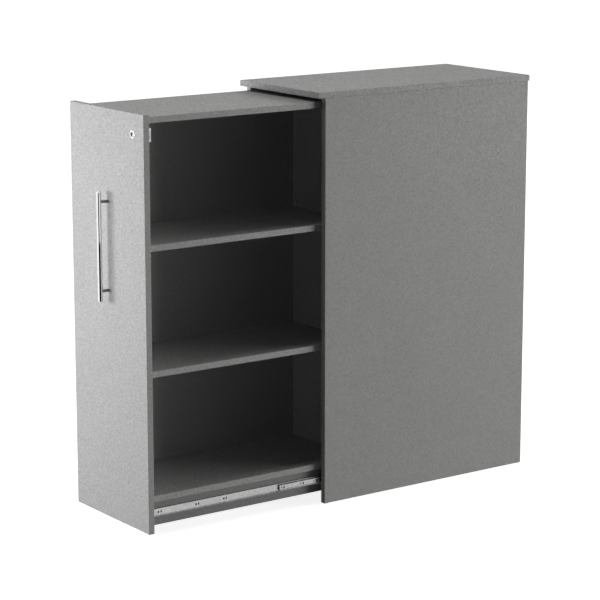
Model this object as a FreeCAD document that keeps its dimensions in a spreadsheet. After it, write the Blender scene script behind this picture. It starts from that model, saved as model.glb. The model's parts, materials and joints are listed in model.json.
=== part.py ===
import FreeCAD, Part
import math
import os
import re

import Sketcher

# A tall pull-out file cabinet: a fixed carcass of grey boards, and a shelf unit behind a full-height
# front panel that rolls out of it on two ball runners. It is drawn in its open rest pose.
# X points to the right, Y to the back, Z up, and the origin is on the floor under the middle.

# Driving sizes, in millimetres and degrees.
SIZES = {
    # Boards of the carcass
    "carcass_width": 400,
    "side_height": 1215,
    "board": 18,
    "edge_radius": 1,
    "top_side_overhang": 1.5,
    "top_front_overhang": 24,
    "top_back_overhang": 4,
    "glide_height": 1,
    "glide_bevel": 0.4,
    "glide_radius": 8,
    "glide_inset": 11,
    "glide_peg_radius": 2.5,
    "glide_peg_length": 12,
    "fixing_radius": 3,
    "fixing_spacing": 240,
    "fixing_drop": 70,
    # Boards of the pull-out
    "rest_opening": 595,
    "closing_gap": 2,
    "panel_side_gap": 1,
    "panel_top_gap": 3,
    "panel_floor_gap": 18,
    "pullout_back_gap": 16,
    "pullout_side_gap": 3,
    "pullout_top_gap": 12,
    "lower_compartment": 345,
    "middle_compartment": 342,
    "wall_inset": 24,
    "rail_floor_gap": 32,
    "rail_height": 72,
    "buffer_radius": 4,
    "buffer_spare": 0.3,
    "buffer_inset": 60,
    # Cam fittings and dowels that hold the boards together
    "cam_radius": 7.5,
    "cam_depth": 12.5,
    "cam_setback": 24,
    "cam_inset": 45,
    "dowel_inset": 90,
    "cam_slot_width": 2,
    "cam_slot_depth": 3,
    "bolt_radius": 3,
    "bolt_thread_radius": 2.5,
    "bolt_thread_length": 11,
    "dowel_radius": 4,
    "dowel_length": 30,
    "dowel_sunk": 12,
    "hole_clearance": 0.1,
    # Ball runners
    "runner_rise": 38,
    "runner_length": 700,
    "runner_setback": 4,
    "runner_back_gap": 50,
    "race_sheet": 1.5,
    "ball_radius": 1.5,
    "race_clearance": 0.1,
    "ball_rise": 9.45,
    "lip_angle": 20,
    "beam_sheet": 1.3,
    "beam_bend": 1.5,
    "hook_angle": 60,
    "hook_tip_angle": 95,
    "beam_length": 536,
    "beam_back_gap": 17,
    "cage_sheet": 0.6,
    "cage_gap": 0.3,
    "cage_edge": 0.45,
    "rear_cage_length": 320,
    "rear_cage_lead": 34,
    "front_cage_length": 175,
    "front_cage_lead": 196,
    "cage_margin": 20,
    "pair_first": 28,
    "pair_long_step": 128,
    "pair_short_step": 96,
    "pair_far_step": 224,
    "beam_pair_first": 6,
    "beam_pair_long_step": 70,
    "beam_pair_short_step": 48,
    "pair_gap": 9,
    "round_hole_radius": 1.8,
    "slot_radius": 2.2,
    "slot_length": 7,
    "slot_bore_radius": 3.7,
    "slot_bore_depth": 12,
    # Flat-headed screws of the runners, the guide and the strike plate
    "screw_head_radius": 3.1,
    "screw_radius": 1.75,
    "screw_length": 14,
    "screw_socket_radius": 1.2,
    "screw_socket_depth": 0.9,
    "screw_flush": 0.1,
    # Guide above the pull-out
    "guide_width": 26,
    "guide_height": 9,
    "guide_setback": 3,
    "guide_back_gap": 9,
    "guide_screw_first": 50,
    "guide_screw_step": 320,
    "shoe_length": 30,
    "shoe_margin": 4,
    "shoe_clearance": 0.3,
    "shoe_headroom": 1.5,
    "shoe_corner": 4,
    # Bar handle
    "handle_radius": 7,
    "handle_length": 316,
    "handle_standoff": 28,
    "handle_rise": 821,
    "handle_chamfer": 0.8,
    "post_spacing": 256,
    "post_radius": 4.5,
    "post_seat": 2,
    "handle_screw_radius": 2,
    "handle_screw_depth": 10,
    "handle_head_radius": 4,
    "handle_head_height": 2.5,
    # Rim lock
    "lock_drop": 59,
    "lock_backset": 40,
    "lock_case_gap": 1,
    "lock_tail": 16,
    "lock_height": 40,
    "lock_depth": 16.5,
    "lock_plate": 1.5,
    "lock_corner": 2,
    "barrel_radius": 9,
    "barrel_reach": 3,
    "barrel_clearance": 0.2,
    "rosette_radius": 11.5,
    "rosette_height": 2,
    "rosette_round": 0.8,
    "plug_radius": 6.5,
    "plug_clearance": 0.05,
    "plug_tail": 0.3,
    "key_slot_width": 2,
    "key_slot_height": 9,
    "key_slot_depth": 14,
    "crank_radius": 4,
    "crank_pin_radius": 1.5,
    "crank_play": 1.1,
    "latch_setback": 7,
    "latch_thickness": 5.5,
    "latch_height": 18,
    "latch_tail": 10,
    "latch_flush": 0.5,
    "latch_clearance": 0.3,
    "lock_screw_inset": 5,
    "lock_screw_radius": 1.75,
    "lock_screw_bite": 10,
    "lock_head_radius": 3,
    "lock_head_height": 2,
    "strike_depth": 16,
    "strike_height": 56,
    "strike_sheet": 1.5,
    "strike_setback": 2,
    "strike_screw_inset": 6,
    "strike_pocket": 10,
}

# Places and sizes that follow from the driving sizes. The middle member of a runner goes half as far as
# the pull-out, and each cage goes midway between the two members that its balls roll on.
PLACES = {
    "side_depth": "runner_setback + runner_length + runner_back_gap + board",
    "pullout_depth": "side_depth - board + closing_gap - pullout_back_gap",
    "guide_length": "side_depth - board - guide_setback - guide_back_gap",
    "open_reach": "rest_opening + closing_gap + board + handle_standoff + handle_radius",
    "back_reach": "side_depth + top_back_overhang",
    "front_y": "(open_reach - back_reach) / 2",
    "inner_half": "carcass_width / 2 - board",
    "ceiling": "glide_height + side_height",
    "panel_back": "front_y - rest_opening - closing_gap",
    "panel_width": "carcass_width - 2 * panel_side_gap",
    "panel_height": "ceiling - panel_top_gap - panel_floor_gap",
    "panel_top": "ceiling - panel_top_gap",
    "pull_half": "inner_half - pullout_side_gap",
    "unit_top": "ceiling - pullout_top_gap",
    "unit_top_low": "unit_top - board",
    "bottom_low": "rail_floor_gap + rail_height",
    "bottom_top": "bottom_low + board",
    "lower_shelf_low": "bottom_top + lower_compartment",
    "upper_shelf_low": "lower_shelf_low + board + middle_compartment",
    "wall_height": "unit_top_low - bottom_top",
    "wall_inner": "pull_half - wall_inset - board",
    "shelf_width": "pull_half + wall_inner",
    "shelf_depth": "pullout_depth - board",
    "race_radius": "ball_radius + race_clearance",
    "ball_reach": "race_sheet + race_radius",
    "bend_reach": "race_radius + beam_sheet / 2 + beam_bend",
    "beam_middle": "ball_reach + bend_reach * cos(hook_angle) + beam_bend + beam_sheet / 2",
    "rail_half": "inner_half - 2 * beam_middle",
    "runner_z": "rail_floor_gap + runner_rise",
    "beam_setback": "runner_setback + runner_length - beam_back_gap - beam_length",
    "beam_y": "front_y + beam_setback - rest_opening / 2",
    "rear_cage_y": "front_y + beam_setback + rear_cage_lead - rest_opening / 4",
    "front_cage_y": "front_y + beam_setback + front_cage_lead - rest_opening * 3 / 4",
    "screw_head_depth": "race_sheet - screw_flush",
    "screw_hole_radius": "screw_head_radius + hole_clearance",
    "pilot_radius": "screw_radius + hole_clearance / 2",
    "lock_x": "inner_half - lock_case_gap - lock_backset",
    "lock_z": "panel_top - lock_drop",
    "lock_low": "lock_z - lock_height / 2",
    "lock_width": "lock_tail + lock_backset",
    "bore_radius": "plug_radius + plug_clearance",
    "latch_y": "panel_back + latch_setback",
    "latch_slot": "crank_pin_radius + crank_play",
    "latch_room": "latch_thickness + 2 * latch_clearance",
    "latch_window": "latch_height + 2 * latch_clearance",
    "strike_y": "front_y + strike_setback",
    "shoe_height": "pullout_top_gap - race_sheet - shoe_headroom",
    "shoe_width": "guide_width - 2 * race_sheet - 2 * shoe_clearance",
    "lock_pilot": "lock_screw_radius + hole_clearance",
}

# Counts of what repeats.
REAR_CAGE_BALLS = 3
FRONT_CAGE_BALLS = 2

# Where a sketch's geometry starts before its constraints pull it into place.
START = 10.0
# How far a cutter passes the faces of what it cuts.
CUT_SPARE = 1.0
HALF_TURN = 180
FULL_TURN = 360
SIDES = (("right", 1), ("left", -1))

doc = FreeCAD.newDocument("pull_out_file_cabinet")
parts = []


def vector(x, y, z):
    return FreeCAD.Vector(x, y, z)


def linked(formula, own=None):
    """The formula with each size and place named by the sheet that holds it."""

    def sheet_name(match):
        word = match.group(0)
        if word in SIZES:
            return "Sizes." + word
        if word in PLACES and own != "Places":
            return "Places." + word
        return word

    return re.sub(r"[a-z_]+", sheet_name, formula)


def fill_sheet(name, rows):
    sheet = doc.addObject("Spreadsheet::Sheet", name)
    for row, (alias, content) in enumerate(rows, start=1):
        sheet.set(f"A{row}", alias)
        sheet.set(f"B{row}", content)
        sheet.setAlias(f"B{row}", alias)
    doc.recompute()
    return sheet


sizes = fill_sheet("Sizes", [(name, str(size)) for name, size in SIZES.items()])
places = fill_sheet("Places", [(name, "=" + linked(rule, "Places")) for name, rule in PLACES.items()])


def number(name):
    sheet = sizes if name in SIZES else places
    return float(sheet.get(name))


def bind(target, prop, formula):
    target.setExpression(prop, linked(formula))


def place(target, x, y, z):
    for axis, formula in zip("xyz", (x, y, z)):
        bind(target, "Placement.Base." + axis, formula)


# Sketches and features

PLANES = {"x": "YZ_Plane", "y": "XZ_Plane", "z": "XY_Plane"}


def new_body(label):
    body = doc.addObject("PartDesign::Body", "Body_" + label)
    body.Label = label
    parts.append(body)
    return body


def new_sketch(body, axis, face="0"):
    """A sketch square to an axis. The plane square to Y looks forward, so its offset is turned round."""
    sketch = body.newObject("Sketcher::SketchObject", "Sketch")
    plane = [f for f in body.Origin.OriginFeatures if f.Role == PLANES[axis]][0]
    sketch.AttachmentSupport = [(plane, "")]
    sketch.MapMode = "FlatFace"
    bind(sketch, "AttachmentOffset.Base.z", f"-({face})" if axis == "y" else face)
    return sketch


def drive(sketch, kind, *picks, to):
    index = sketch.addConstraint(Sketcher.Constraint(kind, *picks, START))
    bind(sketch, f"Constraints[{index}]", to)


def add_rectangle(sketch, across, up, left="0", low="0"):
    corners = [(1, 1), (2, 1), (2, 2), (1, 2)]
    points = [vector(START * a, START * b, 0) for a, b in corners]
    lines = [sketch.addGeometry(Part.LineSegment(points[i - 1], points[i])) for i in (1, 2, 3, 0)]
    for line, after in zip(lines, lines[1:] + lines[:1]):
        sketch.addConstraint(Sketcher.Constraint("Coincident", line, 2, after, 1))
    for line in lines[0::2]:
        sketch.addConstraint(Sketcher.Constraint("Horizontal", line))
    for line in lines[1::2]:
        sketch.addConstraint(Sketcher.Constraint("Vertical", line))
    drive(sketch, "DistanceX", lines[0], 1, lines[0], 2, to=across)
    drive(sketch, "DistanceY", lines[1], 1, lines[1], 2, to=up)
    drive(sketch, "DistanceX", -1, 1, lines[0], 1, to=left)
    drive(sketch, "DistanceY", -1, 1, lines[0], 1, to=low)


def add_circle(sketch, across, up, radius):
    circle = sketch.addGeometry(Part.Circle(vector(START, START, 0), vector(0, 0, 1), START / 2))
    drive(sketch, "DistanceX", -1, 1, circle, 3, to=across)
    drive(sketch, "DistanceY", -1, 1, circle, 3, to=up)
    drive(sketch, "Radius", circle, to=radius)


def pad(body, sketch, length):
    feature = body.newObject("PartDesign::Pad", "Pad")
    feature.Profile = sketch
    bind(feature, "Length", length)
    doc.recompute()
    return feature


def pocket(body, sketch, axis, depth, forward):
    """Cuts the sketch into the body, forward meaning towards the positive end of the axis."""
    feature = body.newObject("PartDesign::Pocket", "Pocket")
    feature.Profile = sketch
    bind(feature, "Length", depth)
    feature.Reversed = forward == (axis != "y")
    doc.recompute()
    return feature


def drill(body, axis, face, spots, radius, depth, forward):
    sketch = new_sketch(body, axis, face)
    for across, up in spots:
        add_circle(sketch, across, up, radius)
    return pocket(body, sketch, axis, depth, forward)


def sink(body, axis, face, across, up, left, low, depth, forward):
    sketch = new_sketch(body, axis, face)
    add_rectangle(sketch, across, up, left, low)
    return pocket(body, sketch, axis, depth, forward)


def edges_across(shape, axis):
    """Names of the straight edges that don't run along an axis."""
    names = []
    for index, edge in enumerate(shape.Edges, start=1):
        run = edge.Vertexes[-1].Point - edge.Vertexes[0].Point
        if abs(run[axis]) < edge.Length / 2:
            names.append(f"Edge{index}")
    return names


def edges_along(shape, axis):
    across = edges_across(shape, axis)
    names = [f"Edge{index}" for index in range(1, len(shape.Edges) + 1)]
    return [name for name in names if name not in across]


def round_edges(body, feature, edges, radius):
    rounding = body.newObject("PartDesign::Fillet", "Fillet")
    rounding.Base = (feature, edges)
    bind(rounding, "Radius", radius)
    doc.recompute()


def board(label, size, corner, flat):
    """A board whose lowest corner is its own origin. Its edging is rounded round both broad faces."""
    body = new_body(label)
    sketch = new_sketch(body, "z")
    add_rectangle(sketch, size[0], size[1])
    blank = pad(body, sketch, size[2])
    round_edges(body, blank, edges_across(blank.Shape, "xyz".index(flat)), "edge_radius")
    place(body, *corner)
    return body


def hardware(label, shape, x="0", y="0", z="0"):
    """A piece that is made from its section or as a group of equal solids."""
    piece = doc.addObject("Part::Feature", "Piece_" + label)
    piece.Label = label
    piece.Shape = shape
    place(piece, x, y, z)
    parts.append(piece)
    return piece


def spaced(first, steps, limit):
    """Places from the first one on, with the steps taken in turn, up to a limit."""
    spots = [first]
    while spots[-1] + steps[(len(spots) - 1) % len(steps)] <= limit:
        spots.append(spots[-1] + steps[(len(spots) - 1) % len(steps)])
    return spots


def turned(outline, axis_point, axis):
    """The solid that a closed outline of points sweeps in a full turn."""
    wire = Part.makePolygon(outline + outline[:1])
    return Part.Face(wire).revolve(axis_point, axis, FULL_TURN)


def stepped_pin(base, direction, steps):
    """A round pin from a base point, its steps given as radius and length."""
    pin = None
    for radius, length in steps:
        step = Part.makeCylinder(radius, length, base, direction)
        pin = step if pin is None else pin.fuse(step)
        base = base + direction * length
    return pin.removeSplitter()


# Fittings that more than one board needs

PAIRS = spaced(
    number("pair_first"),
    (number("pair_long_step"), number("pair_short_step"), number("pair_far_step")),
    number("runner_length") - number("pair_first"),
)
RUNNER_SCREWS = [f"runner_setback + {spot:.4f}" for spot in PAIRS]
CABINET_PAIRS = PAIRS[0::2]
CABINET_SCREWS = RUNNER_SCREWS[0::2]
CAM_XS = ("pull_half - cam_inset", "cam_inset - wall_inner")
SIDE_CAM_YS = ("cam_inset", "side_depth - cam_inset")
DOWEL_XS = ("pull_half - dowel_inset", "dowel_inset - wall_inner")
BACK_DOWEL_ZS = ("dowel_inset", "side_height - dowel_inset")
SHELF_LEVELS = ("bottom_low", "lower_shelf_low", "upper_shelf_low", "unit_top_low")


# Carcass boards

def carcass_boards():
    top = board(
        "carcass_top",
        ("carcass_width + 2 * top_side_overhang", "top_front_overhang + back_reach", "board"),
        ("-carcass_width / 2 - top_side_overhang", "front_y - top_front_overhang", "ceiling"),
        "z",
    )
    side_middle = "top_side_overhang + board / 2"
    bolt_spots = [
        (x, f"top_front_overhang + {y}")
        for x in (side_middle, f"carcass_width + 2 * top_side_overhang - ({side_middle})")
        for y in SIDE_CAM_YS
    ]
    drill(top, "z", "0", bolt_spots, "bolt_thread_radius + hole_clearance", "bolt_thread_length", True)
    guide_x = "carcass_width / 2 + top_side_overhang"
    guide_ys = [f"top_front_overhang + guide_setback + {spot:.4f}" for spot in guide_screw_places()]
    drill(top, "z", "0", [(guide_x, y) for y in guide_ys], "pilot_radius", "screw_length", True)

    for side, sign in SIDES:
        low_x = "inner_half" if sign > 0 else "-carcass_width / 2"
        inner = "0" if sign > 0 else "board"
        inwards = sign > 0
        body = board(
            f"carcass_side_{side}",
            ("board", "side_depth", "side_height"),
            (low_x, "front_y", "glide_height"),
            "x",
        )
        cam_spots = [(y, "side_height - cam_setback") for y in SIDE_CAM_YS]
        drill(body, "x", inner, cam_spots, "cam_radius + hole_clearance", "cam_depth", inwards)
        bore_spots = [("board / 2", y) for y in SIDE_CAM_YS]
        drill(body, "z", "side_height", bore_spots, "bolt_radius + hole_clearance", "cam_setback", False)
        screw_spots = [(y, "runner_z - glide_height") for y in CABINET_SCREWS]
        drill(body, "x", inner, screw_spots, "pilot_radius", "screw_length", inwards)
        dowel_spots = [("side_depth - board / 2", z) for z in BACK_DOWEL_ZS]
        drill(body, "x", inner, dowel_spots, "dowel_radius + hole_clearance", "dowel_sunk", inwards)
        peg_spots = [("board / 2", y) for y in ("glide_inset", "side_depth - glide_inset")]
        drill(body, "z", "0", peg_spots, "glide_peg_radius + hole_clearance", "glide_peg_length", True)
        if sign > 0:
            strike_seat(body)

    back = board(
        "carcass_back",
        ("2 * inner_half", "board", "side_height"),
        ("-inner_half", "front_y + side_depth - board", "glide_height"),
        "y",
    )
    ends = (("0", True), ("2 * inner_half", False))
    for face, forward in ends:
        spots = [("board / 2", z) for z in BACK_DOWEL_ZS]
        drill(back, "x", face, spots, "dowel_radius + hole_clearance", "dowel_length - dowel_sunk", forward)
    fixings = [(f"inner_half {sign} fixing_spacing / 2", "side_height - fixing_drop") for sign in "-+"]
    drill(back, "y", "0", fixings, "fixing_radius", "board", True)


def strike_seat(body):
    """The shallow seat of the strike plate in the right side, its screws' holes and the bolt's pocket."""
    middle = "lock_z - glide_height"
    sink(
        body, "x", "0",
        "strike_depth + 2 * hole_clearance", "strike_height + 2 * hole_clearance",
        "strike_setback - hole_clearance", f"{middle} - strike_height / 2 - hole_clearance",
        "strike_sheet", True,
    )
    sink(
        body, "x", "0",
        "latch_room", "latch_window",
        "latch_setback - closing_gap - latch_clearance", f"{middle} - latch_window / 2",
        "strike_pocket", True,
    )
    spots = [
        ("strike_setback + strike_depth / 2", f"{middle} {sign} (strike_height / 2 - strike_screw_inset)")
        for sign in "-+"
    ]
    drill(body, "x", "strike_sheet", spots, "pilot_radius", "screw_length", True)


# Pull-out boards

def front_panel():
    panel = board(
        "front_panel",
        ("panel_width", "board", "panel_height"),
        ("-panel_width / 2", "panel_back - board", "panel_floor_gap"),
        "y",
    )
    levels = [f"{low} + board / 2 - panel_floor_gap" for low in SHELF_LEVELS]
    bolt_spots = [(f"panel_width / 2 + {x}", z) for x in CAM_XS for z in levels]
    drill(panel, "y", "board", bolt_spots, "bolt_thread_radius + hole_clearance", "bolt_thread_length", False)
    post_zs = [f"handle_rise {sign} post_spacing / 2 - panel_floor_gap" for sign in "-+"]
    handle_spots = [("panel_width / 2", z) for z in post_zs]
    drill(panel, "y", "0", handle_spots, "handle_screw_radius + hole_clearance", "board", True)
    lock_spot = [("panel_width / 2 + lock_x", "lock_z - panel_floor_gap")]
    drill(panel, "y", "0", lock_spot, "barrel_radius + barrel_clearance", "board", True)
    screw_spots = [
        (f"panel_width / 2 + lock_x + {x}", f"lock_low + {z} - panel_floor_gap")
        for x, z in lock_screw_places()
    ]
    drill(panel, "y", "board", screw_spots, "lock_pilot", "lock_screw_bite", False)


def lock_screw_places():
    """The lock's four screws, as places from the barrel's axis and from the foot of the case."""
    xs = ("lock_screw_inset - lock_tail", "lock_backset - lock_screw_inset")
    zs = ("lock_screw_inset", "lock_height - lock_screw_inset")
    return [(x, z) for x in xs for z in zs]


def pullout_boards():
    labels = ("pullout_bottom", "lower_shelf", "upper_shelf", "pullout_top")
    for label, low in zip(labels, SHELF_LEVELS):
        whole = label.startswith("pullout")
        left = "-pull_half" if whole else "-wall_inner"
        width = "2 * pull_half" if whole else "shelf_width"
        depth = "pullout_depth" if whole else "shelf_depth"
        shelf = board(label, (width, depth, "board"), (left, "panel_back", low), "z")
        cam_spots = [(f"{x} - ({left})", "cam_setback") for x in CAM_XS]
        drill(shelf, "z", "0", cam_spots, "cam_radius + hole_clearance", "cam_depth", True)
        bore_spots = [(f"{x} - ({left})", "board / 2") for x in CAM_XS]
        drill(shelf, "y", "0", bore_spots, "bolt_radius + hole_clearance", "cam_setback", True)
        if not whole:
            dowel_spots = [(f"{x} - ({left})", "board / 2") for x in DOWEL_XS]
            sunk = "dowel_length - dowel_sunk"
            drill(shelf, "y", depth, dowel_spots, "dowel_radius + hole_clearance", sunk, False)

    board(
        "pullout_side_wall",
        ("board", "pullout_depth", "wall_height"),
        ("-wall_inner - board", "panel_back", "bottom_top"),
        "x",
    )
    rear = board(
        "pullout_rear_wall",
        ("shelf_width", "board", "wall_height"),
        ("-wall_inner", "panel_back + shelf_depth", "bottom_top"),
        "y",
    )
    levels = [f"{low} + board / 2 - bottom_top" for low in SHELF_LEVELS[1:3]]
    dowel_spots = [(f"{x} + wall_inner", z) for x in DOWEL_XS for z in levels]
    drill(rear, "y", "0", dowel_spots, "dowel_radius + hole_clearance", "dowel_sunk", True)

    for side, sign in SIDES:
        low_x = "rail_half - board" if sign > 0 else "-rail_half"
        outer = "board" if sign > 0 else "0"
        carrier = board(
            f"lower_rail_{side}",
            ("board", "pullout_depth", "rail_height"),
            (low_x, "panel_back", "rail_floor_gap"),
            "x",
        )
        screw_spots = [(y, "runner_rise") for y in RUNNER_SCREWS]
        drill(carrier, "x", outer, screw_spots, "pilot_radius", "screw_length", sign < 0)
        slot_spots = [(f"{y} + pair_gap", "runner_rise") for y in RUNNER_SCREWS]
        drill(carrier, "x", outer, slot_spots, "slot_bore_radius", "slot_bore_depth", sign < 0)


# Cam fittings, bolts, dowels, glides and buffers

def cam(base, axis, pull):
    """A cam disc with its screwdriver slot, and the side opening that takes the bolt's head."""
    radius = number("cam_radius")
    clearance = number("hole_clearance")
    disc = Part.makeCylinder(radius, number("cam_depth") - clearance, base, axis)
    middle = base + axis * (number("board") / 2)
    mouth = Part.makeCylinder(number("bolt_radius") + 2 * clearance, radius + CUT_SPARE, middle, pull)
    width = number("cam_slot_width")
    length = 2 * (radius + CUT_SPARE)
    slot = Part.makeBox(width, length, number("cam_slot_depth") + CUT_SPARE)
    slot.translate(vector(-width / 2, -length / 2, -CUT_SPARE))
    turn = FreeCAD.Rotation(pull, axis.cross(pull), axis, "ZXY")
    slot.Placement = FreeCAD.Placement(base, turn).multiply(slot.Placement)
    return disc.cut(mouth).cut(slot)


def cam_bolt(base, axis, pull):
    """The bolt of a cam: its smooth part lies in the cam's board, its thread in the next one."""
    inside = number("cam_setback") - number("hole_clearance")
    start = base + axis * (number("board") / 2) + pull * number("hole_clearance")
    thread = number("bolt_thread_length") - number("hole_clearance")
    return stepped_pin(start, pull, ((number("bolt_radius"), inside), (number("bolt_thread_radius"), thread)))


def cam_fittings():
    up = vector(0, 0, 1)
    forward = vector(0, -1, 0)
    inset = number("cam_inset")
    xs = (number("pull_half") - inset, inset - number("wall_inner"))
    seats = [vector(x, number("cam_setback"), number(low)) for x in xs for low in SHELF_LEVELS]
    cams = Part.makeCompound([cam(seat, up, forward) for seat in seats])
    hardware("pullout_cams", cams, y="panel_back")
    bolts = Part.makeCompound([cam_bolt(seat, up, forward) for seat in seats])
    hardware("pullout_cam_bolts", bolts, y="panel_back")

    level = number("side_height") - number("cam_setback")
    side_seats = []
    for _, sign in SIDES:
        for y in (inset, number("side_depth") - inset):
            side_seats.append((vector(sign * number("inner_half"), y, level), vector(sign, 0, 0)))
    side_cams = Part.makeCompound([cam(seat, axis, up) for seat, axis in side_seats])
    hardware("carcass_cams", side_cams, y="front_y", z="glide_height")
    side_bolts = Part.makeCompound([cam_bolt(seat, axis, up) for seat, axis in side_seats])
    hardware("carcass_cam_bolts", side_bolts, y="front_y", z="glide_height")


def dowels():
    radius = number("dowel_radius")
    sunk = number("dowel_sunk") - number("hole_clearance")
    length = number("dowel_length") - 2 * number("hole_clearance")
    inset = number("dowel_inset")
    middle = number("board") / 2
    shelf_dowels = []
    for x in (number("pull_half") - inset, inset - number("wall_inner")):
        for low in SHELF_LEVELS[1:3]:
            start = vector(x, number("shelf_depth") + sunk - length, number(low) + middle)
            shelf_dowels.append(Part.makeCylinder(radius, length, start, vector(0, 1, 0)))
    hardware("shelf_dowels", Part.makeCompound(shelf_dowels), y="panel_back")

    back_dowels = []
    for _, sign in SIDES:
        for z in (inset, number("side_height") - inset):
            start = vector(sign * (number("inner_half") + sunk), number("side_depth") - middle, z)
            back_dowels.append(Part.makeCylinder(radius, length, start, vector(-sign, 0, 0)))
    hardware("back_dowels", Part.makeCompound(back_dowels), y="front_y", z="glide_height")


def side_middles():
    """Where the middles of the carcass sides lie across the cabinet."""
    return [sign * (number("carcass_width") - number("board")) / 2 for _, sign in SIDES]


def glides():
    bevel = number("glide_bevel")
    foot = number("glide_radius")
    rise = number("glide_height")
    peg = number("glide_peg_radius")
    peg_top = rise + number("glide_peg_length") - number("hole_clearance")
    foot_profile = [(0, 0), (foot - bevel, 0), (foot, bevel), (foot, rise)]
    peg_profile = [(peg, rise), (peg, peg_top), (0, peg_top)]
    feet = []
    for x in side_middles():
        for y in (number("glide_inset"), number("side_depth") - number("glide_inset")):
            outline = [vector(x + radius, y, z) for radius, z in foot_profile + peg_profile]
            feet.append(turned(outline, vector(x, y, 0), vector(0, 0, 1)))
    hardware("floor_glides", Part.makeCompound(feet), y="front_y")


def buffers():
    radius = number("buffer_radius")
    thickness = number("closing_gap") - number("buffer_spare")
    inset = number("buffer_inset")
    pads = []
    for x in side_middles():
        for z in (number("panel_floor_gap") + inset, number("panel_top") - inset):
            pads.append(Part.makeCylinder(radius, thickness, vector(x, 0, z), vector(0, 1, 0)))
    hardware("front_buffers", Part.makeCompound(pads), y="panel_back")


# Ball runners

def arc(centre, radius, start, end):
    """An arc in the plane of the runner's section, from one angle to another, in degrees."""
    points = []
    for angle in (start, (start + end) / 2, end):
        turn = math.radians(angle)
        points.append(centre + vector(radius * math.cos(turn), 0, radius * math.sin(turn)))
    return Part.Arc(*points).toShape()


def closed_section(upper, lower_start, length):
    """A section closed by its mirror image below, drawn out along the runner."""
    plane = vector(0, 0, 1)
    lower = [edge.mirror(vector(0, 0, 0), plane) for edge in upper]
    first = upper[0].Vertexes[0].Point
    first_below = vector(first.x, 0, -first.z)
    last_below = vector(lower_start.x, 0, -lower_start.z)
    links = [
        Part.makeLine(first_below, first),
        Part.makeLine(lower_start, last_below),
    ]
    wire = Part.Wire(Part.sortEdges(upper + lower + links)[0])
    return Part.Face(wire).extrude(vector(0, length, 0))


def web_hole(spot, radius, depth):
    """The cutter of a round hole through a web, its depth counted from the runner's seat."""
    start = vector(-CUT_SPARE, spot, 0)
    return Part.makeCylinder(radius, depth + 2 * CUT_SPARE, start, vector(1, 0, 0))


def web_slot(spot, depth):
    """The cutter of the upright slot behind a round hole."""
    radius = number("slot_radius")
    half = number("slot_length") / 2 - radius
    y = spot + number("pair_gap")
    reach = depth + 2 * CUT_SPARE
    cutter = Part.makeBox(reach, 2 * radius, 2 * half, vector(-CUT_SPARE, y - radius, -half))
    for z in (-half, half):
        cutter = cutter.fuse(Part.makeCylinder(radius, reach, vector(-CUT_SPARE, y, z), vector(1, 0, 0)))
    return cutter


def rail(pairs):
    """A C-shaped rail whose curled flanges are the outer ball races. Its web stands on its seat."""
    sheet = number("race_sheet")
    race = number("race_radius")
    centre = vector(number("ball_reach"), 0, number("ball_rise"))
    lip = number("lip_angle")
    outer = arc(centre, race + sheet, HALF_TURN, lip)
    inner = arc(centre, race, lip, HALF_TURN)
    link = Part.makeLine(outer.Vertexes[-1].Point, inner.Vertexes[0].Point)
    solid = closed_section([outer, link, inner], vector(sheet, 0, centre.z), number("runner_length"))
    cutters = []
    for spot in pairs:
        cutters += [web_hole(spot, number("screw_hole_radius"), sheet), web_slot(spot, sheet)]
    return solid.cut(cutters)


def beam():
    """The middle member: two bent sheets back to back, each with the inner races of one pair of rails."""
    sheet = number("beam_sheet")
    race = number("race_radius")
    bend = number("beam_bend")
    hook = number("hook_angle")
    tip = number("hook_tip_angle")
    middle = number("beam_middle")
    ball = vector(number("ball_reach"), 0, number("ball_rise"))
    turn = math.radians(hook)
    bend_centre = ball + vector(math.cos(turn), 0, -math.sin(turn)) * number("bend_reach")
    big_bend = arc(bend_centre, bend + sheet / 2, 0, HALF_TURN - hook)
    groove = arc(ball, race, -hook, -tip)
    underside = arc(ball, race + sheet, -tip, -hook)
    small_bend = arc(bend_centre, bend - sheet / 2, HALF_TURN - hook, 0)
    edge = Part.makeLine(groove.Vertexes[-1].Point, underside.Vertexes[0].Point)
    web_inside = bend_centre + vector(bend - sheet / 2, 0, 0)
    upper = [big_bend, groove, edge, underside, small_bend]
    half = closed_section(upper, web_inside, number("beam_length"))
    other = half.mirror(vector(middle, 0, 0), vector(1, 0, 0))
    solid = half.fuse(other).removeSplitter()
    steps = (number("beam_pair_long_step"), number("beam_pair_short_step"))
    limit = number("beam_length") - number("beam_pair_first") - number("pair_gap")
    cutters = []
    for spot in spaced(number("beam_pair_first"), steps, limit):
        cutters += [web_hole(spot, number("round_hole_radius"), 2 * middle), web_slot(spot, 2 * middle)]
    return solid.cut(cutters)


def ball_places(count, length):
    margin = number("cage_margin")
    step = (length - 2 * margin) / (count - 1)
    return [margin + step * index for index in range(count)]


def cage(count, length):
    """A flat strip beside the web of a rail, notched along both edges to keep the balls apart."""
    near = number("race_sheet") + number("cage_gap")
    reach = number("ball_rise") + number("cage_edge")
    strip = Part.makeBox(number("cage_sheet"), length, 2 * reach, vector(near, 0, -reach))
    notches = [
        Part.makeCylinder(number("ball_radius"), number("ball_reach"), vector(0, y, z), vector(1, 0, 0))
        for y in ball_places(count, length)
        for z in (-number("ball_rise"), number("ball_rise"))
    ]
    return strip.cut(notches)


def balls(count, length):
    return Part.makeCompound([
        Part.makeSphere(number("ball_radius"), vector(number("ball_reach"), y, z))
        for y in ball_places(count, length)
        for z in (-number("ball_rise"), number("ball_rise"))
    ])


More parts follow.
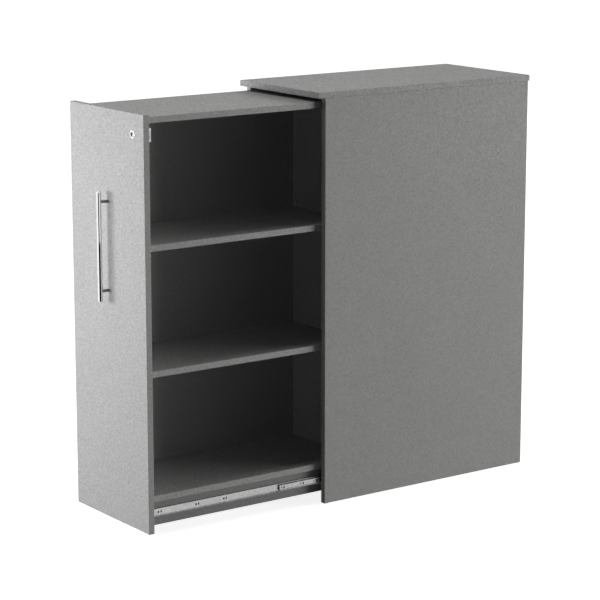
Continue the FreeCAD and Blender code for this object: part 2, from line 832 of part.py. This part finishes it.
def flat_screw(seat, axis):
    """A flat-headed screw. The seat is where its axis meets the face under the sheet that it holds."""
    head = number("screw_head_depth")
    radius = number("screw_radius")
    tip = number("screw_length") - number("hole_clearance")
    socket = number("screw_socket_radius")
    socket_floor = head - number("screw_socket_depth")
    outline = [
        vector(0, 0, socket_floor), vector(socket, 0, socket_floor), vector(socket, 0, head),
        vector(number("screw_head_radius"), 0, head), vector(radius, 0, 0), vector(radius, 0, radius - tip),
        vector(0, 0, -tip),
    ]
    screw = turned(outline, vector(0, 0, 0), vector(0, 0, 1))
    screw.Placement = FreeCAD.Placement(seat, FreeCAD.Rotation(vector(0, 0, 1), axis))
    return screw


def runners():
    flip = (vector(0, 0, 0), vector(1, 0, 0))
    setback_y = "panel_back + runner_setback"
    cabinet_screws = []
    drawer_screws = []
    rear = (REAR_CAGE_BALLS, number("rear_cage_length"))
    front = (FRONT_CAGE_BALLS, number("front_cage_length"))
    for side, sign in SIDES:
        x = "inner_half" if sign > 0 else "-inner_half"
        rail_x = "rail_half" if sign > 0 else "-rail_half"
        # Pieces on the carcass side face inwards, and pieces on the pull-out face outwards.
        inward = [rail(CABINET_PAIRS), beam(), cage(*rear), balls(*rear)]
        outward = [rail(PAIRS), cage(*front), balls(*front)]
        if sign > 0:
            inward = [shape.mirror(*flip) for shape in inward]
        else:
            outward = [shape.mirror(*flip) for shape in outward]
        hardware(f"runner_cabinet_{side}", inward[0], x, "front_y + runner_setback", "runner_z")
        hardware(f"runner_middle_{side}", inward[1], x, "beam_y", "runner_z")
        hardware(f"rear_ball_cage_{side}", inward[2], x, "rear_cage_y", "runner_z")
        hardware(f"rear_balls_{side}", inward[3], x, "rear_cage_y", "runner_z")
        hardware(f"runner_drawer_{side}", outward[0], rail_x, setback_y, "runner_z")
        hardware(f"front_ball_cage_{side}", outward[1], rail_x, "front_cage_y", "runner_z")
        hardware(f"front_balls_{side}", outward[2], rail_x, "front_cage_y", "runner_z")
        inner = sign * number("inner_half")
        outer = sign * number("rail_half")
        cabinet_screws += [flat_screw(vector(inner, y, 0), vector(-sign, 0, 0)) for y in CABINET_PAIRS]
        drawer_screws += [flat_screw(vector(outer, y, 0), vector(sign, 0, 0)) for y in PAIRS]
    group = Part.makeCompound(cabinet_screws)
    hardware("runner_cabinet_screws", group, y="front_y + runner_setback", z="runner_z")
    hardware("runner_drawer_screws", Part.makeCompound(drawer_screws), y=setback_y, z="runner_z")


# Guide above the pull-out

def guide_screw_places():
    limit = number("guide_length") - number("guide_screw_first")
    return spaced(number("guide_screw_first"), (number("guide_screw_step"),), limit)


def top_guide():
    channel = new_body("top_guide_rail")
    sketch = new_sketch(channel, "z")
    add_rectangle(sketch, "guide_width", "guide_length")
    pad(channel, sketch, "guide_height")
    inside = "guide_width - 2 * race_sheet"
    sink(channel, "z", "0", inside, "guide_length", "race_sheet", "0", "guide_height - race_sheet", True)
    spots = [("guide_width / 2", f"{spot:.4f}") for spot in guide_screw_places()]
    drill(channel, "z", "guide_height", spots, "screw_hole_radius", "race_sheet", False)
    place(channel, "-guide_width / 2", "front_y + guide_setback", "ceiling - guide_height")

    down = vector(0, 0, -1)
    screws = [flat_screw(vector(0, spot, 0), down) for spot in guide_screw_places()]
    hardware("top_guide_screws", Part.makeCompound(screws), y="front_y + guide_setback", z="ceiling")

    shoe = new_body("top_guide_shoe")
    sketch = new_sketch(shoe, "z")
    add_rectangle(sketch, "shoe_width", "shoe_length")
    block = pad(shoe, sketch, "shoe_height")
    round_edges(shoe, block, edges_along(block.Shape, 2), "shoe_corner")
    place(shoe, "-shoe_width / 2", "panel_back + pullout_depth - shoe_margin - shoe_length", "unit_top")


# Bar handle

def handle():
    half = number("handle_length") / 2
    radius = number("handle_radius")
    bevel = number("handle_chamfer")
    up = vector(0, 0, 1)
    outline = [
        vector(0, 0, -half), vector(radius - bevel, 0, -half), vector(radius, 0, bevel - half),
        vector(radius, 0, half - bevel), vector(radius - bevel, 0, half), vector(0, 0, half),
    ]
    bar = turned(outline, vector(0, 0, 0), up)
    backward = vector(0, 1, 0)
    seat = radius - number("post_seat")
    standoff = number("handle_standoff")
    screw_hole = number("handle_screw_radius") + number("hole_clearance")
    screw_depth = number("handle_screw_depth")
    posts = []
    screws = []
    for z in (-number("post_spacing") / 2, number("post_spacing") / 2):
        seat_bore = number("post_radius") + number("hole_clearance")
        bar = bar.cut(Part.makeCylinder(seat_bore, radius, vector(0, seat, z), backward))
        post = Part.makeCylinder(number("post_radius"), standoff - seat, vector(0, seat, z), backward)
        thread_start = vector(0, standoff - screw_depth, z)
        posts.append(post.cut(Part.makeCylinder(screw_hole, screw_depth, thread_start, backward)))
        bolt_start = vector(0, standoff - screw_depth + number("hole_clearance"), z)
        shank = number("board") + screw_depth - number("hole_clearance")
        head = (number("handle_head_radius"), number("handle_head_height"))
        screws.append(stepped_pin(bolt_start, backward, ((number("handle_screw_radius"), shank), head)))
    axis_y = "panel_back - board - handle_standoff"
    hardware("handle_bar", bar, y=axis_y, z="handle_rise")
    hardware("handle_posts", Part.makeCompound(posts), y=axis_y, z="handle_rise")
    hardware("handle_screws", Part.makeCompound(screws), y=axis_y, z="handle_rise")


# Rim lock

BARREL_SCREWS = [(f"lock_tail + {x}", z) for x, z in lock_screw_places()]


def lock_rosette():
    rosette = new_body("lock_rosette")
    sketch = new_sketch(rosette, "y")
    add_circle(sketch, "rosette_radius", "rosette_radius", "rosette_radius")
    add_circle(sketch, "rosette_radius", "rosette_radius", "barrel_radius + hole_clearance")
    ring = pad(rosette, sketch, "rosette_height")
    rim = [
        f"Edge{index}"
        for index, edge in enumerate(ring.Shape.Edges, start=1)
        if edge.BoundBox.YMax < -number("rosette_height") / 2
        and edge.BoundBox.XLength > number("rosette_radius") + number("barrel_radius")
    ]
    round_edges(rosette, ring, rim, "rosette_round")
    place(rosette, "lock_x - rosette_radius", "panel_back - board", "lock_z - rosette_radius")


def lock_barrel():
    """The back plate of the lock and the barrel that goes through the panel, bored for the plug."""
    barrel = new_body("lock_barrel")
    axis_spot = [("lock_tail", "lock_height / 2")]
    sketch = new_sketch(barrel, "y", "lock_plate")
    add_rectangle(sketch, "lock_width", "lock_height")
    pad(barrel, sketch, "lock_plate")
    sketch = new_sketch(barrel, "y")
    add_circle(sketch, *axis_spot[0], "barrel_radius")
    pad(barrel, sketch, "board + barrel_reach")
    drill(barrel, "y", "lock_plate", axis_spot, "bore_radius", "lock_plate + board + barrel_reach", False)
    drill(barrel, "y", "0", BARREL_SCREWS, "lock_pilot", "lock_plate", True)
    place(barrel, "lock_x - lock_tail", "panel_back", "lock_low")


def lock_case():
    """The cast cover, hollow from the panel's side, with a mouth on the right for the bolt."""
    case = new_body("lock_case")
    sketch = new_sketch(case, "y", "lock_depth - lock_plate")
    add_rectangle(sketch, "lock_width", "lock_height")
    block = pad(case, sketch, "lock_depth - lock_plate")
    round_edges(case, block, edges_along(block.Shape, 1), "lock_corner")
    floor = "latch_setback + latch_thickness + latch_clearance - lock_plate"
    low = "(lock_height - latch_window) / 2"
    sink(case, "y", "0", "lock_width", "latch_window", "lock_corner", low, floor, True)
    drill(case, "y", "0", BARREL_SCREWS, "lock_pilot", "lock_depth", True)
    place(case, "lock_x - lock_tail", "panel_back + lock_plate", "lock_low")


def lock_plug():
    """The turning plug with its key slot in front and its crank pin behind."""
    plug = new_body("lock_plug")
    sketch = new_sketch(plug, "y", "lock_plate + plug_tail")
    add_circle(sketch, "plug_radius", "plug_radius", "plug_radius")
    pad(plug, sketch, "lock_plate + plug_tail + board + barrel_reach")
    sketch = new_sketch(plug, "y", "latch_setback + latch_thickness")
    add_circle(sketch, "plug_radius - crank_radius", "plug_radius", "crank_pin_radius")
    pad(plug, sketch, "latch_setback + latch_thickness - lock_plate - plug_tail")
    sink(
        plug, "y", "-board - barrel_reach",
        "key_slot_width", "key_slot_height",
        "plug_radius - key_slot_width / 2", "plug_radius - key_slot_height / 2",
        "key_slot_depth", True,
    )
    place(plug, "lock_x - plug_radius", "panel_back", "lock_z - plug_radius")


def lock_bolt():
    """The flat bolt, with the upright slot that the crank pin runs in."""
    latch = new_body("lock_bolt")
    sketch = new_sketch(latch, "z")
    add_rectangle(sketch, "latch_tail + lock_backset - latch_flush", "latch_thickness")
    pad(latch, sketch, "latch_height")
    play = "crank_radius + latch_slot"
    sink(
        latch, "y", "0",
        "2 * latch_slot", f"2 * ({play})",
        "latch_tail - crank_radius - latch_slot", f"latch_height / 2 - ({play})",
        "latch_thickness", True,
    )
    place(latch, "lock_x - latch_tail", "latch_y", "lock_z - latch_height / 2")


def lock_screws():
    shank = number("lock_depth") + number("lock_screw_bite") - number("hole_clearance")
    steps = (
        (number("lock_screw_radius"), shank),
        (number("lock_head_radius"), number("lock_head_height")),
    )
    inset = number("lock_screw_inset")
    start_y = number("hole_clearance") - number("lock_screw_bite")
    screws = [
        stepped_pin(vector(x, start_y, z), vector(0, 1, 0), steps)
        for x in (inset - number("lock_tail"), number("lock_backset") - inset)
        for z in (inset, number("lock_height") - inset)
    ]
    hardware("lock_screws", Part.makeCompound(screws), "lock_x", "panel_back", "lock_low")


def lock_strike():
    """The plate in the right side that takes the bolt, and its screws."""
    strike = new_body("lock_strike")
    sketch = new_sketch(strike, "x")
    add_rectangle(sketch, "strike_depth", "strike_height")
    pad(strike, sketch, "strike_sheet")
    sink(
        strike, "x", "0",
        "latch_room", "latch_window",
        "latch_setback - closing_gap - strike_setback - latch_clearance",
        "(strike_height - latch_window) / 2",
        "strike_sheet", True,
    )
    spots = [("strike_depth / 2", z) for z in ("strike_screw_inset", "strike_height - strike_screw_inset")]
    drill(strike, "x", "0", spots, "screw_hole_radius", "strike_sheet", True)
    place(strike, "inner_half", "strike_y", "lock_z - strike_height / 2")

    reach = number("strike_height") / 2 - number("strike_screw_inset")
    seat_x = number("strike_sheet")
    seat_y = number("strike_depth") / 2
    plate_screws = [flat_screw(vector(seat_x, seat_y, z), vector(-1, 0, 0)) for z in (-reach, reach)]
    hardware("strike_screws", Part.makeCompound(plate_screws), "inner_half", "strike_y", "lock_z")


carcass_boards()
front_panel()
pullout_boards()
cam_fittings()
dowels()
glides()
buffers()
runners()
top_guide()
handle()
lock_rosette()
lock_barrel()
lock_case()
lock_plug()
lock_bolt()
lock_screws()
lock_strike()
doc.recompute()


# Nothing is written unless every object and every solid is sound.
def check():
    for item in doc.Objects:
        if "Invalid" in item.State or "Error" in item.State:
            raise RuntimeError(f"{item.Label} failed: {item.State}")
        if item.TypeId == "PartDesign::Pocket" and item.Shape.Volume >= item.BaseFeature.Shape.Volume:
            raise RuntimeError(f"{item.Label} of {item.getParentGeoFeatureGroup().Label} cuts nothing")
    for piece in parts:
        if piece.Shape.isNull() or not piece.Shape.isValid():
            raise RuntimeError(f"{piece.Label} has no sound shape")


check()
os.makedirs("parts", exist_ok=True)
for piece in parts:
    piece.Shape.exportStep(f"parts/{piece.Label}.step")
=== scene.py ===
import json
import math

import bpy
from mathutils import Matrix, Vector


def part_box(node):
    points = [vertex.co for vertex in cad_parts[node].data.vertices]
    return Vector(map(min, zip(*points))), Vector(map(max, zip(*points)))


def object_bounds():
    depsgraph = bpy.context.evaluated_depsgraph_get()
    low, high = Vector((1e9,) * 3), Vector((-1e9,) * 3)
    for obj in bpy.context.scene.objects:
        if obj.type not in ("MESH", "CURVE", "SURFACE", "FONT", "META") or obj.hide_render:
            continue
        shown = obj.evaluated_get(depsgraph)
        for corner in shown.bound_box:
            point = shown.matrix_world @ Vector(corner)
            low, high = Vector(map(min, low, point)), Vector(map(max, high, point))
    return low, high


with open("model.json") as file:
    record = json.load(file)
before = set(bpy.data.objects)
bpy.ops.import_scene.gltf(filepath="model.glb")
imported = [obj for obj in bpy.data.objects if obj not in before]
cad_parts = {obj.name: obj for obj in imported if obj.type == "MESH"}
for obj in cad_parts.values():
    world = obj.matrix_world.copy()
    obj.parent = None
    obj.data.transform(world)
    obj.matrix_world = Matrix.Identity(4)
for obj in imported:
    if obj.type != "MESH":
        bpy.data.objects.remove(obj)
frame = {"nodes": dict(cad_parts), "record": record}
cad_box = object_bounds()

# Lengths are in metres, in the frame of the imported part. Angles are in degrees.
MM = 0.001

# Camera, solved from the cabinet's own edges
CAMERA_PLACE = (5.4573, -3.9255, 2.0035)
CAMERA_AZIMUTH = 54.34
CAMERA_ELEVATION = 11.95
FOCAL_PIXELS = 2274.9
IMAGE_PIXELS = 600
SENSOR_WIDTH = 36.0
CLIP_END = 100


# Small helpers for node materials

# Most of a noise lies between these two values.
NOISE_LOW = 0.3
NOISE_HIGH = 0.7


class Shader:
    """A node material under construction, with the calls that its recipes need."""

    def __init__(self, name):
        self.material = bpy.data.materials.new(name)
        self.material.use_nodes = True
        self.tree = self.material.node_tree
        self.surface = self.tree.nodes["Principled BSDF"]

    def node(self, kind, **settings):
        made = self.tree.nodes.new(kind)
        for name, value in settings.items():
            setattr(made, name, value)
        return made

    def feed(self, target, value):
        """Links an output to a socket, or sets the socket to a plain value."""
        if isinstance(value, bpy.types.NodeSocket):
            self.tree.links.new(value, target)
        else:
            target.default_value = value

    def place(self):
        """Where a point lies on the part at rest."""
        return self.node("ShaderNodeTexCoord").outputs["Object"]

    def stretched(self, scale):
        mapping = self.node("ShaderNodeMapping", vector_type="POINT")
        self.feed(mapping.inputs["Vector"], self.place())
        mapping.inputs["Scale"].default_value = scale
        return mapping.outputs["Vector"]

    def noise(self, grain, detail=2.0, rough=0.5, scale=(1, 1, 1)):
        """Noise whose grains are about that long."""
        made = self.node("ShaderNodeTexNoise")
        self.feed(made.inputs["Vector"], self.stretched(scale))
        made.inputs["Scale"].default_value = 1 / grain
        made.inputs["Detail"].default_value = detail
        made.inputs["Roughness"].default_value = rough
        return made.outputs["Fac"]

    def math(self, operation, first, second=0.0):
        made = self.node("ShaderNodeMath", operation=operation)
        self.feed(made.inputs[0], first)
        self.feed(made.inputs[1], second)
        return made.outputs[0]

    def spread(self, noise, low, high):
        """Maps the values where most of a noise lies onto a range."""
        made = self.node("ShaderNodeMapRange")
        self.feed(made.inputs["Value"], noise)
        made.inputs["From Min"].default_value = NOISE_LOW
        made.inputs["From Max"].default_value = NOISE_HIGH
        made.inputs["To Min"].default_value = low
        made.inputs["To Max"].default_value = high
        return made.outputs["Result"]

    def mottle(self, noise, contrast):
        """A factor about 1 that a noise varies by the contrast, up and down."""
        return self.spread(noise, 1 - contrast, 1 + contrast)

    def shaded(self, colour, *factors):
        """A colour times each factor in turn."""
        result = colour
        for factor in factors:
            made = self.node("ShaderNodeVectorMath", operation="SCALE")
            self.feed(made.inputs[0], result)
            self.feed(made.inputs["Scale"], factor)
            result = made.outputs["Vector"]
        return result

    def bump(self, height, depth, strength=1.0):
        made = self.node("ShaderNodeBump")
        made.inputs["Strength"].default_value = strength
        made.inputs["Distance"].default_value = depth
        self.feed(made.inputs["Height"], height)
        return made.outputs["Normal"]

    def finish(self, **sockets):
        for name, value in sockets.items():
            self.feed(self.surface.inputs[name.replace("_", " ")], value)
        return self.material


# Materials

BOARD_GREY = (0.40, 0.40, 0.402)
# The two lower rails are darkened as painted shade, for the shade under the bottom board's
# overhang.
RAIL_PAINTED_SHADE = 0.6
BOARD_ROUGHNESS = (0.78, 0.36)
BOARD_RELIEF = 0.07 * MM
EDGING = 1.0 * MM
SEAM = 0.25 * MM
SEAM_SHADE = 0.22
PEARL_GRAIN = 0.9 * MM
PEARL_CONTRAST = 0.14
CLOUD_GRAIN = 160 * MM
CLOUD_CONTRAST = 0.015
# Grain and contrast of the speckle on boards that are thin along each axis
SPECKLE = {"x": (6.0 * MM, 0.115), "y": (5.5 * MM, 0.17), "z": (6.0 * MM, 0.20)}
SPECKLE_RELIEF = 0.6


def thin_axis(low, high):
    """The axis along which a board is thinnest, as 0, 1 or 2."""
    extents = [high[axis] - low[axis] for axis in range(3)]
    return extents.index(min(extents))


def edge_distance(shader, low, high):
    """How far a point is from the nearest edge of its board, over the board's broad faces."""
    thin = thin_axis(low, high)
    split = shader.node("ShaderNodeSeparateXYZ")
    shader.feed(split.inputs[0], shader.place())
    nearest = None
    for axis in range(3):
        if axis == thin:
            continue
        from_low = shader.math("SUBTRACT", split.outputs[axis], low[axis])
        from_high = shader.math("SUBTRACT", high[axis], split.outputs[axis])
        distance = shader.math("MINIMUM", from_low, from_high)
        nearest = distance if nearest is None else shader.math("MINIMUM", nearest, distance)
    return nearest


def melamine(node):
    """Grey melamine, pearled and speckled, with the seam of its edging strip round its faces; the
    lower rails are darkened as painted shade.
    """
    low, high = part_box(node)
    # Painted shade: the lower rails get a darker grey than the other boards.
    rail_painted_shade = RAIL_PAINTED_SHADE if node.startswith("lower_rail") else 1.0
    shader = Shader("grey_board_" + node)
    pearl = shader.noise(PEARL_GRAIN, detail=3.0, rough=0.65)
    grain, contrast = SPECKLE["xyz"[thin_axis(low, high)]]
    speckle = shader.noise(grain, detail=3.0, rough=0.6)
    cloud = shader.noise(CLOUD_GRAIN, detail=3.0)
    from_edge = edge_distance(shader, low, high)
    off_seam = shader.math("ABSOLUTE", shader.math("SUBTRACT", from_edge, EDGING))
    seam = shader.math("LESS_THAN", off_seam, SEAM / 2)
    seam_shade = shader.math("SUBTRACT", 1.0, shader.math("MULTIPLY", seam, SEAM_SHADE))
    height = shader.math("ADD", pearl, shader.math("MULTIPLY", speckle, SPECKLE_RELIEF))
    return shader.finish(
        Base_Color=shader.shaded(
            [rail_painted_shade * channel for channel in BOARD_GREY],
            shader.mottle(pearl, PEARL_CONTRAST),
            shader.mottle(speckle, contrast),
            shader.mottle(cloud, CLOUD_CONTRAST),
            seam_shade,
        ),
        Roughness=shader.spread(speckle, *BOARD_ROUGHNESS),
        Specular_IOR_Level=0.2,
        Normal=shader.bump(height, depth=BOARD_RELIEF, strength=0.7),
    )


def rolled_steel():
    """Bright zinc plate on rolled strip, drawn along the runner, with faint spangle."""
    shader = Shader("runner_steel")
    lines = shader.noise(0.5 * MM, detail=3.0, scale=(1, 0.02, 1))
    spangle = shader.noise(9 * MM, detail=2.0)
    return shader.finish(
        Base_Color=shader.shaded(
            (0.34, 0.34, 0.342),
            shader.mottle(lines, 0.06),
            shader.mottle(spangle, 0.10),
        ),
        Metallic=1.0,
        Roughness=shader.spread(spangle, 0.2, 0.3),
        Normal=shader.bump(lines, depth=0.02 * MM, strength=0.4),
    )


def screw_plate(name, colour, contrast, metallic, roughness):
    """A screw's plating, slightly mottled."""
    shader = Shader(name)
    patches = shader.noise(0.9 * MM, detail=3.0)
    return shader.finish(
        Base_Color=shader.shaded(colour, shader.mottle(patches, contrast)),
        Metallic=metallic,
        Roughness=shader.spread(patches, *roughness),
    )


def die_cast():
    """Dull cast zinc with a fine grain."""
    shader = Shader("cast_zinc")
    grain = shader.noise(0.6 * MM, detail=4.0)
    patch = shader.noise(7 * MM, detail=2.0)
    return shader.finish(
        Base_Color=shader.shaded(
            (0.27, 0.27, 0.275),
            shader.mottle(grain, 0.05),
            shader.mottle(patch, 0.05),
        ),
        Metallic=1.0,
        Roughness=shader.spread(patch, 0.34, 0.48),
        Normal=shader.bump(grain, depth=0.03 * MM, strength=0.5),
    )


def chrome():
    """Polished chrome with the faint haze that hands leave."""
    shader = Shader("chrome")
    haze = shader.noise(22 * MM, detail=4.0, rough=0.6)
    polish = shader.noise(0.4 * MM, detail=2.0, scale=(1, 1, 0.05))
    return shader.finish(
        Base_Color=shader.shaded((0.86, 0.86, 0.87), shader.mottle(haze, 0.02)),
        Metallic=1.0,
        Roughness=shader.spread(haze, 0.015, 0.045),
        Normal=shader.bump(polish, depth=0.004 * MM, strength=0.2),
    )


def painted_dark_metal(name, tone):
    """A turned finish, duller than the chrome and darkened as painted shade, for the dark
    reflections in the handle's posts and the lock's plug.
    """
    shader = Shader(name)
    rings = shader.noise(0.5 * MM, detail=3.0, scale=(0.05, 1, 0.05))
    return shader.finish(
        Base_Color=shader.shaded((tone, tone, tone), shader.mottle(rings, 0.12)),
        Metallic=1.0,
        Roughness=shader.spread(rings, 0.2, 0.32),
        Normal=shader.bump(rings, depth=0.02 * MM, strength=0.4),
    )


def moulded(name, colour, roughness):
    """Moulded plastic with a fine eroded texture; the roughness is its least and greatest."""
    shader = Shader(name)
    texture = shader.noise(0.35 * MM, detail=3.0)
    flow = shader.noise(5 * MM, detail=2.0)
    return shader.finish(
        Base_Color=shader.shaded(colour, shader.mottle(flow, 0.05)),
        Roughness=shader.spread(texture, *roughness),
        Normal=shader.bump(texture, depth=0.03 * MM, strength=0.5),
    )


def beech():
    """Beech with fine rays along the dowel."""
    shader = Shader("beech")
    rays = shader.noise(0.8 * MM, detail=4.0, scale=(1, 0.1, 1))
    return shader.finish(
        Base_Color=shader.shaded((0.62, 0.45, 0.28), shader.spread(rays, 0.82, 1.12)),
        Roughness=shader.spread(rays, 0.55, 0.7),
        Normal=shader.bump(rays, depth=0.05 * MM, strength=0.5),
    )


# Finishes by the record's slot, other than the boards', and by node where it differs from its slot
FINISHES = {
    "runner_steel": rolled_steel(),
    "zinc_screws": screw_plate("zinc_screws", (0.7, 0.7, 0.69), 0.1, 1.0, (0.28, 0.4)),
    "black_screws": screw_plate("black_screws", (0.035, 0.035, 0.037), 0.2, 0.6, (0.4, 0.52)),
    "cast_zinc": die_cast(),
    "chrome": chrome(),
    "black_plastic": moulded("black_plastic", (0.03, 0.03, 0.031), (0.45, 0.55)),
    "white_nylon": moulded("white_nylon", (0.74, 0.74, 0.72), (0.37, 0.47)),
    "beech": beech(),
}
# The handle's posts and the lock's plug are darkened as painted shade, for their dark reflections.
OWN_FINISHES = {
    "handle_posts": painted_dark_metal("post_painted_shade", 0.24),
    "lock_plug": painted_dark_metal("plug_painted_shade", 0.03),
}


def dress_nodes():
    """Gives every node its own finish or that of its slot; the boards get one each."""
    for part in frame["record"]["subparts"]:
        node = part["node"]
        slot = part["material_slot"]
        finish = OWN_FINISHES.get(node) or FINISHES.get(slot) or melamine(node)
        piece = frame["nodes"][node]
        piece.data.materials.clear()
        piece.data.materials.append(finish)


dress_nodes()


# Studio

FLOOR_SIZE = 40.0
FLOOR_GAP = 0.2 * MM
# How pale the floor is to the eye, and to the light that it throws back on the object
FLOOR_WHITE = 0.82
FLOOR_BOUNCE = 0.12
# The floor's glow under the object, and where it rises to white
SHADOW_GLOW = 0.86
SHADOW_REACH = (0.9, 2.2)
AMBIENT = 0.012
SOFT_WHITE = (1, 1, 0.97)
CARD_STEPS = 12
CARD_LIFT = 1.0 * MM
# How far out the nearer dark card ends and the further one begins
CARD_BORDER = 4.52


def seen_by_eye(tree):
    """A mask of the rays that show a background: from the camera, or by metal or glass."""
    paths = tree.nodes.new("ShaderNodeLightPath")
    mask = paths.outputs["Is Camera Ray"]
    for name in ("Is Glossy Ray", "Is Transmission Ray"):
        both = tree.nodes.new("ShaderNodeMath")
        both.operation = "MAXIMUM"
        tree.links.new(mask, both.inputs[0])
        tree.links.new(paths.outputs[name], both.inputs[1])
        mask = both.outputs[0]
    return mask


def white_world():
    world = bpy.data.worlds.new("studio")
    bpy.context.scene.world = world
    world.use_nodes = True
    tree = world.node_tree
    background = tree.nodes["Background"]
    background.inputs["Color"].default_value = (1, 1, 1, 1)
    strength = tree.nodes.new("ShaderNodeMapRange")
    strength.inputs["To Min"].default_value = AMBIENT
    strength.inputs["To Max"].default_value = 1.0
    tree.links.new(seen_by_eye(tree), strength.inputs["Value"])
    tree.links.new(strength.outputs["Result"], background.inputs["Strength"])


def white_floor():
    """A white floor that keeps the shadow: it glows for the eye alone, more so further out."""
    bpy.ops.mesh.primitive_plane_add(size=FLOOR_SIZE, location=(0, 0, -FLOOR_GAP))
    floor = bpy.context.object
    floor.name = "studio_floor"
    shader = Shader("studio_floor")
    paths = shader.node("ShaderNodeLightPath")
    tone = shader.node("ShaderNodeMapRange")
    shader.feed(tone.inputs["Value"], paths.outputs["Is Diffuse Ray"])
    tone.inputs["To Min"].default_value = FLOOR_WHITE
    tone.inputs["To Max"].default_value = FLOOR_BOUNCE
    away = shader.node("ShaderNodeVectorMath", operation="LENGTH")
    shader.feed(away.inputs[0], shader.place())
    glow = shader.node("ShaderNodeMapRange", interpolation_type="SMOOTHSTEP")
    shader.feed(glow.inputs["Value"], away.outputs["Value"])
    glow.inputs["From Min"].default_value = SHADOW_REACH[0]
    glow.inputs["From Max"].default_value = SHADOW_REACH[1]
    glow.inputs["To Min"].default_value = SHADOW_GLOW
    glow.inputs["To Max"].default_value = 1.0
    floor.data.materials.append(shader.finish(
        Base_Color=shader.shaded((1, 1, 1), tone.outputs["Result"]),
        Roughness=0.9,
        Specular_IOR_Level=0.0,
        Emission_Color=(1, 1, 1, 1),
        Emission_Strength=shader.math(
            "MULTIPLY", glow.outputs["Result"], seen_by_eye(shader.tree)),
    ))


def softbox(name, azimuth, elevation, distance, size, power, target, colour=(1, 1, 1)):
    """A broad lamp that looks at a target. Azimuth 0 is in front of it, 90 on its right."""
    around = math.radians(azimuth)
    up = math.radians(elevation)
    direction = Vector((
        math.sin(around) * math.cos(up),
        -math.cos(around) * math.cos(up),
        math.sin(up),
    ))
    data = bpy.data.lights.new(name, "AREA")
    data.shape = "RECTANGLE"
    data.size, data.size_y = size
    data.energy = power
    data.color = colour
    lamp = bpy.data.objects.new(name, data)
    lamp.location = Vector(target) + direction * distance
    lamp.rotation_mode = "QUATERNION"
    lamp.rotation_quaternion = (-direction).to_track_quat("-Z", "Y")
    bpy.context.scene.collection.objects.link(lamp)


def dark_card(name, centre, start, end, near, far):
    """A black card flat on the floor, a sector about a centre, seen only in polished metal."""
    rim = []
    for radius, first, last in ((near, start, end), (far, end, start)):
        for step in range(CARD_STEPS + 1):
            around = math.radians(first + (last - first) * step / CARD_STEPS)
            x = centre.x + radius * math.sin(around)
            y = centre.y - radius * math.cos(around)
            rim.append((x, y, CARD_LIFT))
    mesh = bpy.data.meshes.new(name)
    mesh.from_pydata(rim, [], [list(range(len(rim)))])
    shader = Shader(name)
    black = shader.finish(Base_Color=(0, 0, 0, 1), Roughness=1.0, Specular_IOR_Level=0.0)
    mesh.materials.append(black)
    card = bpy.data.objects.new(name, mesh)
    bpy.context.scene.collection.objects.link(card)
    card.visible_camera = False
    card.visible_diffuse = False
    card.visible_transmission = False
    card.visible_shadow = False


def middle_of(node):
    low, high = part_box(node)
    return (low + high) / 2


white_world()
white_floor()
softbox(
    "key", azimuth=-24, elevation=10.4, distance=2.1, size=(2.25, 0.55), power=63.5,
    target=middle_of("front_panel"),
)
softbox(
    "overhead", azimuth=180, elevation=89, distance=2.2, size=(1.0, 2.6), power=19,
    target=(0, -1.1, cad_box[1].z), colour=SOFT_WHITE,
)
softbox(
    "back", azimuth=180, elevation=24, distance=12.0, size=(8.0, 4.4), power=600,
    target=(0, 0, cad_box[1].z), colour=SOFT_WHITE,
)
softbox(
    "rim", azimuth=148, elevation=1.6, distance=12.0, size=(5.2, 1.8), power=985,
    target=(cad_box[0] + cad_box[1]) / 2, colour=SOFT_WHITE,
)
rod = middle_of("handle_bar")
dark_card("low_card", rod, start=16, end=98, near=2.5, far=CARD_BORDER)
dark_card("high_card", rod, start=24, end=74, near=CARD_BORDER, far=7.5)


def camera():
    data = bpy.data.cameras.new("camera")
    data.sensor_width = SENSOR_WIDTH
    data.lens = FOCAL_PIXELS / IMAGE_PIXELS * SENSOR_WIDTH
    data.clip_end = CLIP_END
    eye = bpy.data.objects.new("camera", data)
    eye.location = CAMERA_PLACE
    tilt = math.radians(90 - CAMERA_ELEVATION)
    eye.rotation_euler = (tilt, 0, math.radians(CAMERA_AZIMUTH))
    bpy.context.scene.collection.objects.link(eye)
    bpy.context.scene.camera = eye


camera()
bpy.context.scene.view_settings.view_transform = "Standard"
